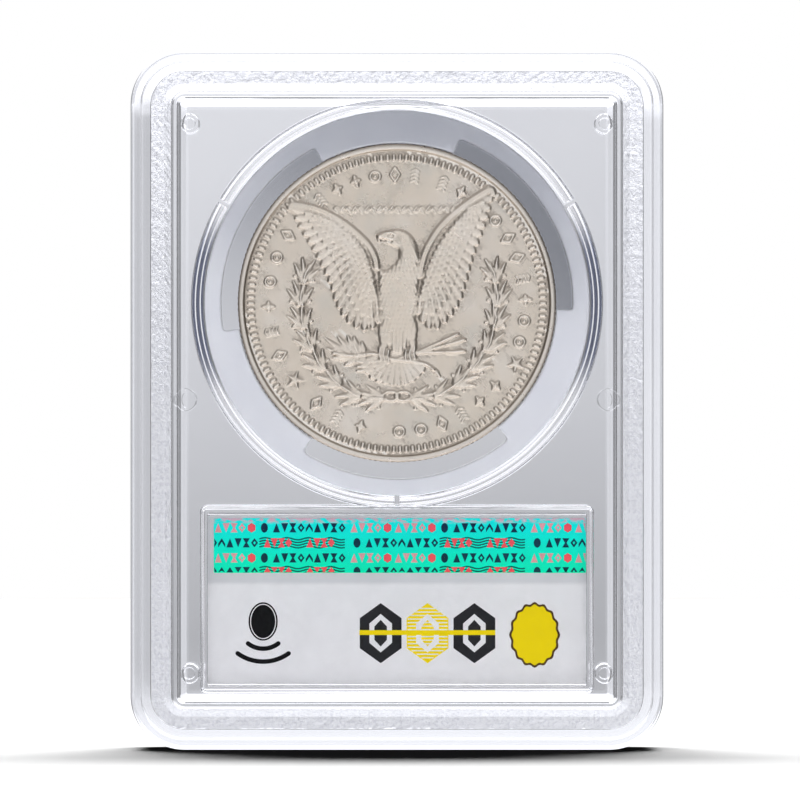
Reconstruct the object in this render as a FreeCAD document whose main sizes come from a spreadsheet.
import FreeCAD, Part
import math
import os

import Sketcher

# A graded coin slab: two clear half shells, welded round the rim, that hold a coin in a
# three-pad gasket and a label with a contactless tag.
#
# Frame, in millimetres: +Z up, the slab stands on its lower edge with the label at the bottom.
# X is the width, Y the depth. The back of the slab faces -Y and the front faces +Y.
# The two shells meet on the plane Y = 0. The origin is the centre of the lower edge.

DIMENSIONS = {
    # the slab
    "slab_width": 63.5,
    "slab_height": 83.3,
    "half_depth": 4.0,
    "corner_radius": 6.4,
    # stacking edge: the front lip of one slab sits round the back ledge of the next
    "ledge_width": 1.25,
    "lip_width": 1.15,
    "lip_height": 0.5,
    # border, from the outside edge inwards: rim, slope, step, slope, panel
    "rim_margin": 4.0,
    "rim_slope": 0.8,
    "step_margin": 5.65,
    "panel_slope": 0.75,
    "panel_radius": 1.6,
    "back_rim_drop": 0.55,
    "back_panel_drop": 0.45,
    "front_rim_drop": 0.3,
    "front_panel_drop": 0.2,
    "edge_round": 0.4,
    "seam_bevel": 0.15,
    # inside
    "cavity_margin": 4.8,
    "cavity_depth": 1.7,
    "weld_margin": 2.3,
    "weld_width": 2.1,
    "weld_depth": 0.15,
    # circular rib round the gasket
    "coin_height": 53.25,
    "rib_outer_radius": 24.5,
    "rib_inner_radius": 23.1,
    "notch_width": 0.5,
    # label frame and the rails that pinch the cards
    "frame_width": 46.9,
    "frame_height": 22.5,
    "frame_base": 6.6,
    "frame_wall": 0.65,
    "frame_radius": 0.8,
    "rail_height": 0.45,
    "back_card_gap": 0.4,
    "front_card_gap": 0.37,
    # corner pegs and sockets
    "peg_spacing": 49.6,
    "peg_low": 9.0,
    "peg_high": 74.7,
    "boss_radius": 1.15,
    "pin_radius": 0.7,
    "pin_length": 1.0,
    "socket_radius": 0.75,
    "socket_depth": 1.2,
    # ejector-pin marks on the inner faces
    "mark_spacing": 51.0,
    "mark_height": 41.7,
    "mark_radius": 1.4,
    "mark_depth": 0.1,
    # gasket
    "gasket_radius": 23.0,
    "gasket_depth": 3.3,
    "window_radius": 21.0,
    "pad_radius": 19.08,
    "window_start": -2.2,
    "window_span": 71.4,
    "window_round": 0.5,
    # coin
    "coin_radius": 19.05,
    "coin_depth": 2.4,
    "coin_rim": 0.85,
    "field_depth": 0.15,
    "reed_depth": 0.12,
    "reed_width": 0.3,
    "reed_overrun": 0.1,
    "reed_count": 180,
    # label
    "card_width": 45.4,
    "card_height": 20.9,
    "card_base": 7.3,
    "card_depth": 0.25,
    "strip_width": 44.5,
    "strip_height": 6.55,
    "strip_base": 21.0,
    "strip_shift": 0.35,
    "strip_depth": 0.06,
    # contactless tag
    "film_width": 38.0,
    "film_height": 15.0,
    "film_base": 10.25,
    "film_depth": 0.1,
    "coil_inset": 1.2,
    "coil_turns": 4,
    "coil_pitch": 0.8,
    "track_width": 0.4,
    "track_depth": 0.05,
    "chip_size": 1.6,
    "chip_depth": 0.1,
}

WINDOWS = 3
NOTCH_ANGLES = (30, 150, 270)
FIELD_TAPER = -45
CUT_OVERRUN = 0.3  # how far a cut begins outside the wall that it goes through

SAME_DEPTH = 1e-4
SAME_MARGIN = 0.02
LEAST_CUT = 1e-6

V = FreeCAD.Vector
doc = FreeCAD.newDocument("coin_slab")


# The spreadsheet of driving dimensions

def make_sheet():
    sheet = doc.addObject("Spreadsheet::Sheet", "Dims")
    for row, (alias, size) in enumerate(DIMENSIONS.items(), start=1):
        sheet.set(f"A{row}", alias)
        sheet.set(f"B{row}", str(size))
        sheet.setAlias(f"B{row}", alias)
    doc.recompute()
    return sheet


sheet = make_sheet()


def number(formula):
    """The value of a formula on the sheet's cells, such as 'Dims.slab_width / 2'."""
    return float(sheet.evalExpression(formula))


# Small steps that every sub-part uses

def new_body(name, height="0", depth="0", turned=False):
    """A body whose own origin is at that height and depth; turned faces it the other way."""
    body = doc.addObject("PartDesign::Body", name)
    body.Label = name
    turn = FreeCAD.Rotation(V(0, 0, 1), 180 if turned else 0)
    body.Placement = FreeCAD.Placement(V(0, 0, 0), turn)
    body.setExpression("Placement.Base.y", depth)
    body.setExpression("Placement.Base.z", height)
    return body


def new_sketch(body, name, depth="0"):
    """A sketch on the body's XZ plane, moved that far towards -Y. Its normal points to -Y."""
    plane = next(f for f in body.Origin.OriginFeatures if f.Role == "XZ_Plane")
    sketch = body.newObject("Sketcher::SketchObject", name)
    sketch.AttachmentSupport = (plane, "")
    sketch.MapMode = "FlatFace"
    sketch.setExpression("AttachmentOffset.Base.z", depth)
    return sketch


def constrain(sketch, formula, *constraint):
    """Adds one dimension to the sketch and binds it to the sheet."""
    index = sketch.addConstraint(Sketcher.Constraint(*constraint, number(formula)))
    sketch.setExpression(f"Constraints[{index}]", formula)


def add_circle(sketch, radius, across="0", up="0"):
    """A circle whose centre is at (across, up)."""
    x, y = number(across), number(up)
    circle = sketch.addGeometry(Part.Circle(V(x, y, 0), V(0, 0, 1), number(radius)), False)
    constrain(sketch, radius, "Radius", circle)
    if x:
        constrain(sketch, across, "DistanceX", -1, 1, circle, 3)
    else:
        sketch.addConstraint(Sketcher.Constraint("PointOnObject", circle, 3, -2))
    if y:
        constrain(sketch, up, "DistanceY", -1, 1, circle, 3)
    else:
        sketch.addConstraint(Sketcher.Constraint("PointOnObject", circle, 3, -1))
    return circle


def add_rectangle(sketch, width, height, base, across="0"):
    """A sharp rectangle, centred on across, that stands at the height base."""
    half, low = number(width) / 2, number(base)
    high, middle = low + number(height), number(across)
    corners = [
        V(middle - half, low, 0),
        V(middle + half, low, 0),
        V(middle + half, high, 0),
        V(middle - half, high, 0),
    ]
    edges = [
        sketch.addGeometry(Part.LineSegment(corners[i], corners[(i + 1) % 4]), False)
        for i in range(4)
    ]
    for i in range(4):
        following = edges[(i + 1) % 4]
        sketch.addConstraint(Sketcher.Constraint("Coincident", edges[i], 2, following, 1))
    for i in (0, 2):
        sketch.addConstraint(Sketcher.Constraint("Horizontal", edges[i]))
        sketch.addConstraint(Sketcher.Constraint("Vertical", edges[i + 1]))
    constrain(sketch, width, "DistanceX", edges[0], 1, edges[0], 2)
    constrain(sketch, height, "DistanceY", edges[1], 1, edges[1], 2)
    constrain(sketch, f"{across} - ({width}) / 2", "DistanceX", -1, 1, edges[0], 1)
    if low:
        constrain(sketch, base, "DistanceY", -1, 1, edges[0], 1)
    else:
        sketch.addConstraint(Sketcher.Constraint("PointOnObject", edges[0], 1, -1))


def add_rounded_rectangle(sketch, width, height, base, radius):
    """A rectangle with round corners, centred on X = 0, that stands at the height base."""
    half, low, r = number(width) / 2, number(base), number(radius)
    high = low + number(height)
    centres = [
        V(half - r, low + r, 0),
        V(half - r, high - r, 0),
        V(r - half, high - r, 0),
        V(r - half, low + r, 0),
    ]
    quarter = math.pi / 2
    arcs = []
    for i, centre in enumerate(centres):
        circle = Part.Circle(centre, V(0, 0, 1), r)
        arc = Part.ArcOfCircle(circle, (i - 1) * quarter, i * quarter)
        arcs.append(sketch.addGeometry(arc, False))
    lines = []
    for i in range(4):
        start = sketch.Geometry[arcs[i]].EndPoint
        end = sketch.Geometry[arcs[(i + 1) % 4]].StartPoint
        lines.append(sketch.addGeometry(Part.LineSegment(start, end), False))
    for i in range(4):
        sketch.addConstraint(Sketcher.Constraint("Tangent", arcs[i], 2, lines[i], 1))
        following = arcs[(i + 1) % 4]
        sketch.addConstraint(Sketcher.Constraint("Tangent", lines[i], 2, following, 1))
    for i in (0, 2):
        sketch.addConstraint(Sketcher.Constraint("Vertical", lines[i]))
    sketch.addConstraint(Sketcher.Constraint("Horizontal", lines[1]))
    sketch.addConstraint(Sketcher.Constraint("Symmetric", lines[3], 1, lines[3], 2, -2))
    for arc in arcs[1:]:
        sketch.addConstraint(Sketcher.Constraint("Equal", arcs[0], arc))
    constrain(sketch, radius, "Radius", arcs[0])
    constrain(sketch, width, "DistanceX", lines[2], 1, lines[0], 1)
    constrain(sketch, height, "DistanceY", lines[3], 1, lines[1], 1)
    if low:
        constrain(sketch, base, "DistanceY", -1, 1, lines[3], 1)
    else:
        sketch.addConstraint(Sketcher.Constraint("PointOnObject", lines[3], 1, -1))


def add_inset_outline(sketch, margin, radius=None):
    """The slab's outline, moved inwards by margin. Its corners stay concentric with the
    slab's own, unless they are given a radius."""
    add_rounded_rectangle(
        sketch,
        f"Dims.slab_width - 2 * ({margin})",
        f"Dims.slab_height - 2 * ({margin})",
        margin,
        radius or f"Dims.corner_radius - ({margin})",
    )


def pad(body, name, sketch, length, up=False):
    """Adds material from the sketch towards -Y, or towards +Y where up is true."""
    feature = body.newObject("PartDesign::Pad", name)
    feature.Profile = sketch
    feature.setExpression("Length", length)
    feature.Reversed = up
    doc.recompute()
    return feature


def pocket(body, name, sketch, length, up=True, taper=0.0):
    """Cuts from the sketch towards +Y, or towards -Y where up is false. A negative taper
    narrows the pocket as it goes in. It stops the build if it removes nothing."""
    before = body.Shape.Volume
    feature = body.newObject("PartDesign::Pocket", name)
    feature.Profile = sketch
    feature.setExpression("Length", length)
    feature.Reversed = not up
    feature.TaperAngle = taper
    doc.recompute()
    if not body.Shape.Volume < before - LEAST_CUT:
        raise RuntimeError(f"{body.Label}: pocket {name} removed nothing")
    return feature


def slope_angle(run, drop):
    return math.degrees(math.atan2(number(run), number(drop)))


def edges_on_plane(shape, y, margin):
    """Names of the edges that lie at depth y and at most margin inside the slab's outline."""
    half, high = number("Dims.slab_width / 2"), number("Dims.slab_height")
    found = []
    for index, edge in enumerate(shape.Edges, start=1):
        box = edge.BoundBox
        if abs(box.YMin - y) > SAME_DEPTH or abs(box.YMax - y) > SAME_DEPTH:
            continue
        reach = min(half - box.XMax, half + box.XMin, high - box.ZMax, box.ZMin)
        if abs(reach - margin) < SAME_MARGIN:
            found.append(f"Edge{index}")
    return found


def dress(body, kind, name, size, y, margin):
    """A fillet or chamfer along the slab-shaped loop of edges at that depth and margin."""
    base = body.Tip
    # the body may be turned, so its edges are read in its own frame
    shape = base.Shape
    names = edges_on_plane(shape, y, margin)
    if not names:
        raise RuntimeError(f"{body.Label}: {name} found no edges")
    feature = body.newObject(f"PartDesign::{kind}", name)
    feature.Base = (base, names)
    feature.setExpression("Radius" if kind == "Fillet" else "Size", size)
    doc.recompute()
    return feature


# The two shells

def make_shell_block(body, ledge_outside):
    """The solid half with its stacking edge, its rim and the window panel sunk in two steps."""
    outline = new_sketch(body, "outline")
    add_inset_outline(outline, "0")
    pad(body, "block", outline, "Dims.half_depth")
    edge = new_sketch(body, "stacking_edge", "Dims.half_depth")
    if ledge_outside:
        add_inset_outline(edge, "0")
        add_inset_outline(edge, "Dims.ledge_width")
        rim_face, side = "Dims.half_depth", "back"
    else:
        add_inset_outline(edge, "Dims.lip_width")
        rim_face, side = "Dims.half_depth - Dims.lip_height", "front"
    pocket(body, "stacking_cut", edge, "Dims.lip_height")
    rim_drop, panel_drop = f"Dims.{side}_rim_drop", f"Dims.{side}_panel_drop"
    slope = new_sketch(body, "rim_slope", rim_face)
    add_inset_outline(slope, "Dims.rim_margin")
    taper = -slope_angle("Dims.rim_slope", rim_drop)
    pocket(body, "rim_cut", slope, rim_drop, taper=taper)
    panel = new_sketch(body, "panel_slope", f"{rim_face} - {rim_drop}")
    add_inset_outline(panel, "Dims.step_margin", "Dims.panel_radius")
    taper = -slope_angle("Dims.panel_slope", panel_drop)
    pocket(body, "panel_cut", panel, panel_drop, taper=taper)


def make_shell_inside(body, card_gap):
    """The hollow, the weld groove, the ribs, the label frame, its rails and the corner bosses."""
    cavity = new_sketch(body, "cavity")
    add_inset_outline(cavity, "Dims.cavity_margin")
    pocket(body, "hollow", cavity, "Dims.cavity_depth", up=False)
    weld = new_sketch(body, "weld_line")
    add_inset_outline(weld, "Dims.weld_margin")
    add_inset_outline(weld, "Dims.weld_margin + Dims.weld_width")
    pocket(body, "weld_groove", weld, "Dims.weld_depth", up=False)

    frame = new_sketch(body, "label_frame")
    add_rounded_rectangle(
        frame, "Dims.frame_width", "Dims.frame_height", "Dims.frame_base", "Dims.frame_radius"
    )
    add_rectangle(
        frame,
        "Dims.frame_width - 2 * Dims.frame_wall",
        "Dims.frame_height - 2 * Dims.frame_wall",
        "Dims.frame_base + Dims.frame_wall",
    )
    pad(body, "label_frame_wall", frame, "Dims.cavity_depth")

    rib = new_sketch(body, "coin_rib")
    add_circle(rib, "Dims.rib_outer_radius", up="Dims.coin_height")
    add_circle(rib, "Dims.rib_inner_radius", up="Dims.coin_height")
    pad(body, "coin_rib_wall", rib, "Dims.cavity_depth")
    for angle in NOTCH_ANGLES:
        notch = new_sketch(body, f"notch_{angle}")
        add_notch(notch, math.radians(angle))
        pocket(body, f"rib_notch_{angle}", notch, "Dims.cavity_depth", up=False)

    rails = new_sketch(body, "card_rails", card_gap)
    inner_width = "Dims.frame_width - 2 * Dims.frame_wall"
    low = "Dims.frame_base + Dims.frame_wall"
    high = "Dims.frame_base + Dims.frame_height - Dims.frame_wall - Dims.rail_height"
    add_rectangle(rails, inner_width, "Dims.rail_height", low)
    add_rectangle(rails, inner_width, "Dims.rail_height", high)
    pad(body, "card_rail_walls", rails, f"Dims.cavity_depth - {card_gap}")

    bosses = new_sketch(body, "corner_bosses")
    add_corner_circles(bosses, "Dims.boss_radius")
    pad(body, "corner_boss_walls", bosses, "Dims.cavity_depth")

    marks = new_sketch(body, "ejector_marks", "Dims.cavity_depth")
    for side in ("-", ""):
        add_circle(marks, "Dims.mark_radius", f"{side}Dims.mark_spacing / 2", "Dims.mark_height")
    pocket(body, "ejector_dimples", marks, "Dims.mark_depth", up=False)


def add_notch(sketch, angle):
    """A narrow slot across the circular rib, at that angle round the coin's centre."""
    along, across = V(math.cos(angle), math.sin(angle), 0), V(-math.sin(angle), math.cos(angle), 0)
    centre = V(0, number("Dims.coin_height"), 0)
    half = across * number("Dims.notch_width / 2")
    inner = centre + along * (number("Dims.rib_inner_radius") - CUT_OVERRUN)
    outer = centre + along * (number("Dims.rib_outer_radius") + CUT_OVERRUN)
    corners = [inner - half, outer - half, outer + half, inner + half]
    for i in range(4):
        sketch.addGeometry(Part.LineSegment(corners[i], corners[(i + 1) % 4]), False)
        sketch.addConstraint(Sketcher.Constraint("Block", i))


def add_corner_circles(sketch, radius):
    for side in ("-", ""):
        for level in ("Dims.peg_low", "Dims.peg_high"):
            add_circle(sketch, radius, f"{side}Dims.peg_spacing / 2", level)


def make_back_shell():
    body = new_body("back_shell")
    make_shell_block(body, ledge_outside=True)
    make_shell_inside(body, "Dims.back_card_gap")
    pins = new_sketch(body, "corner_pins")
    add_corner_circles(pins, "Dims.pin_radius")
    pad(body, "corner_pin_shafts", pins, "Dims.pin_length", up=True)
    ledge = -number("Dims.half_depth - Dims.lip_height")
    dress(body, "Fillet", "ledge_round", "Dims.edge_round", ledge, 0)
    dress(body, "Fillet", "rim_round", "Dims.edge_round / 2", -number("Dims.half_depth"),
          number("Dims.ledge_width"))
    dress(body, "Chamfer", "seam_edge", "Dims.seam_bevel", 0, 0)
    return body


def make_front_shell():
    """The front half is drawn like the back half, then turned half a turn about Z."""
    body = new_body("front_shell", turned=True)
    make_shell_block(body, ledge_outside=False)
    make_shell_inside(body, "Dims.front_card_gap")
    sockets = new_sketch(body, "corner_sockets")
    add_corner_circles(sockets, "Dims.socket_radius")
    pocket(body, "corner_socket_holes", sockets, "Dims.socket_depth", up=False)
    lip = -number("Dims.half_depth")
    dress(body, "Fillet", "lip_round", "Dims.edge_round", lip, 0)
    dress(body, "Fillet", "lip_inner_round", "Dims.edge_round / 2", lip, number("Dims.lip_width"))
    dress(body, "Chamfer", "seam_edge", "Dims.seam_bevel", 0, 0)
    return body


def make_weld_bead():
    """The ring of melted plastic that fills the grooves of both shells."""
    body = new_body("weld_bead", depth="Dims.weld_depth")
    band = new_sketch(body, "band")
    add_inset_outline(band, "Dims.weld_margin")
    add_inset_outline(band, "Dims.weld_margin + Dims.weld_width")
    pad(body, "bead", band, "2 * Dims.weld_depth")
    return body


# The coin and its gasket

def make_coin_gasket():
    """A ring with three long windows; between them three pads touch the coin."""
    body = new_body("coin_gasket", "Dims.coin_height", "Dims.gasket_depth / 2")
    ring = new_sketch(body, "ring")
    add_circle(ring, "Dims.gasket_radius")
    add_circle(ring, "Dims.pad_radius")
    pad(body, "ring_wall", ring, "Dims.gasket_depth")
    opening = new_sketch(body, "window")
    start = math.radians(number("Dims.window_start"))
    add_window(opening, start, start + math.radians(number("Dims.window_span")))
    first = pocket(body, "window_cut", opening, "Dims.gasket_depth", up=False)
    pattern = body.newObject("PartDesign::PolarPattern", "windows")
    pattern.Originals = [first]
    pattern.Axis = (opening, ["N_Axis"])
    pattern.Angle = 360
    pattern.Occurrences = WINDOWS
    body.Tip = pattern
    doc.recompute()
    return body


def add_window(sketch, start, end):
    """A window from the pads' radius out to the window radius, with rounded outer corners.
    It starts inside the pads' radius so that it cuts clean through."""
    outer, r = number("Dims.window_radius"), number("Dims.window_round")
    inner = number("Dims.pad_radius") - CUT_OVERRUN
    turn = math.asin(r / (outer - r))
    reach = (outer - r) * math.cos(turn)

    def polar(radius, angle):
        return V(radius * math.cos(angle), radius * math.sin(angle), 0)

    def corner(angle, side):
        """The rounding between the window's straight end and its outer arc."""
        centre = polar(outer - r, angle + side * turn)
        middle = centre + polar(r, angle + side * (turn - math.pi / 2) / 2)
        return centre, middle

    _, low_middle = corner(start, 1)
    _, high_middle = corner(end, -1)
    low_end, high_end = polar(reach, start), polar(reach, end)
    low_arc, high_arc = polar(outer, start + turn), polar(outer, end - turn)
    parts = [
        Part.LineSegment(polar(inner, start), low_end),
        Part.Arc(low_end, low_middle, low_arc),
        Part.Arc(low_arc, polar(outer, (start + end) / 2), high_arc),
        Part.Arc(high_arc, high_middle, high_end),
        Part.LineSegment(high_end, polar(inner, end)),
        Part.Arc(polar(inner, end), polar(inner, (start + end) / 2), polar(inner, start)),
    ]
    for index, part in enumerate(parts):
        sketch.addGeometry(part, False)
        sketch.addConstraint(Sketcher.Constraint("Block", index))


def make_coin():
    """A disc with a raised rim on both faces and a reeded edge."""
    body = new_body("coin", "Dims.coin_height", "Dims.coin_depth / 2")
    blank = new_sketch(body, "blank")
    add_circle(blank, "Dims.coin_radius")
    pad(body, "disc", blank, "Dims.coin_depth")
    for name, depth, up in (("near_field", "Dims.coin_depth", True), ("far_field", "0", False)):
        field = new_sketch(body, name, depth)
        add_circle(field, "Dims.coin_radius - Dims.coin_rim")
        pocket(body, f"{name}_cut", field, "Dims.field_depth", up=up, taper=FIELD_TAPER)
    reed = new_sketch(body, "reed")
    foot = number("Dims.coin_radius - Dims.reed_depth")
    top = number("Dims.coin_radius + Dims.reed_overrun")
    half = number("Dims.reed_width / 2")
    corners = [V(foot, 0, 0), V(top, -half, 0), V(top, half, 0)]
    for i in range(3):
        reed.addGeometry(Part.LineSegment(corners[i], corners[(i + 1) % 3]), False)
        reed.addConstraint(Sketcher.Constraint("Block", i))
    groove = pocket(body, "reed_groove", reed, "Dims.coin_depth", up=False)
    pattern = body.newObject("PartDesign::PolarPattern", "reeding")
    pattern.Originals = [groove]
    pattern.Axis = (reed, ["N_Axis"])
    pattern.Angle = 360
    pattern.setExpression("Occurrences", "Dims.reed_count")
    body.Tip = pattern
    doc.recompute()
    return body


# The label

def make_plate(name, width, height, base, thickness, depth, across="0"):
    """A thin plate whose near face is at the given depth."""
    body = new_body(name, depth=f"-({depth}) + {thickness}")
    face = new_sketch(body, "face")
    add_rectangle(face, width, height, base, across)
    pad(body, "sheet", face, thickness)
    return body


def make_label():
    card = ("Dims.card_width", "Dims.card_height", "Dims.card_base", "Dims.card_depth")
    strip = ("Dims.strip_width", "Dims.strip_height", "Dims.strip_base", "Dims.strip_depth")
    return [
        make_plate("label_back_card", *card, "Dims.back_card_gap"),
        make_plate("label_front_card", *card, "Dims.card_depth - Dims.front_card_gap"),
        make_plate("hologram_strip", *strip, "Dims.back_card_gap + Dims.strip_depth",
                   "Dims.strip_shift"),
    ]


# The contactless tag, on the inner face of the back card

def coil_path():
    """The centre line of a rectangular spiral that winds inwards to the chip."""
    pitch, turns = number("Dims.coil_pitch"), int(number("Dims.coil_turns"))
    half_width = number("Dims.film_width / 2 - Dims.coil_inset")
    half_height = number("Dims.film_height / 2 - Dims.coil_inset")
    middle = number("Dims.film_base + Dims.film_height / 2")
    points = [V(-half_width, middle - half_height, 0)]
    for turn in range(turns):
        across, up = half_width - turn * pitch, half_height - turn * pitch
        points.append(V(across, middle - up, 0))
        points.append(V(across, middle + up, 0))
        points.append(V(-across, middle + up, 0))
        points.append(V(-across, middle - up + pitch, 0))
    return points


def add_track(sketch, path, width):
    """The outline of a flat track of that width along a path with square corners."""
    sides = []
    for start, end in zip(path, path[1:]):
        along = (end - start).normalize()
        sides.append(V(-along.y, along.x, 0) * (width / 2))
    turns = [before + after for before, after in zip(sides, sides[1:])]
    offsets = [sides[0], *turns, sides[-1]]
    left = [point + offset for point, offset in zip(path, offsets)]
    right = [point - offset for point, offset in zip(path, offsets)]
    outline = left + right[::-1]
    for index, point in enumerate(outline):
        following = outline[(index + 1) % len(outline)]
        sketch.addGeometry(Part.LineSegment(point, following), False)
        sketch.addConstraint(Sketcher.Constraint("Block", index))


def make_tag():
    film_face = "Dims.back_card_gap - Dims.card_depth"
    track_face = f"{film_face} - Dims.film_depth"
    film = make_plate("nfc_film", "Dims.film_width", "Dims.film_height", "Dims.film_base",
                      "Dims.film_depth", film_face)
    coil = new_body("nfc_antenna", depth=f"-({track_face}) + Dims.track_depth")
    turns = new_sketch(coil, "turns")
    path = coil_path()
    add_track(turns, path, number("Dims.track_width"))
    pad(coil, "track", turns, "Dims.track_depth")
    inner_end = path[-1]
    chip = make_plate("nfc_chip", "Dims.chip_size", "Dims.chip_size",
                      f"{inner_end.y} - Dims.chip_size / 2", "Dims.chip_depth",
                      f"{track_face} - Dims.track_depth", str(inner_end.x))
    return [film, coil, chip]


# Build, check and write

def check(parts):
    for item in doc.Objects:
        if "Invalid" in item.State or "Error" in item.State:
            raise RuntimeError(f"{item.Label} is in the state {item.State}")
    for part in parts:
        if part.Shape.isNull() or not part.Shape.isValid():
            raise RuntimeError(f"{part.Label} has no valid shape")


def main():
    parts = [make_back_shell(), make_front_shell(), make_weld_bead()]
    parts += [make_coin_gasket(), make_coin()]
    parts += make_label()
    parts += make_tag()
    doc.recompute()
    check(parts)
    os.makedirs("parts", exist_ok=True)
    for part in parts:
        part.Shape.exportStep(f"parts/{part.Label}.step")
        box = part.Shape.optimalBoundingBox(False, False)
        print(f"{part.Label}: {len(part.Shape.Solids)} solid, {part.Shape.Volume:.1f} mm3, "
              f"X {box.XMin:.2f} {box.XMax:.2f}  Y {box.YMin:.2f} {box.YMax:.2f}  "
              f"Z {box.ZMin:.2f} {box.ZMax:.2f}")


main()
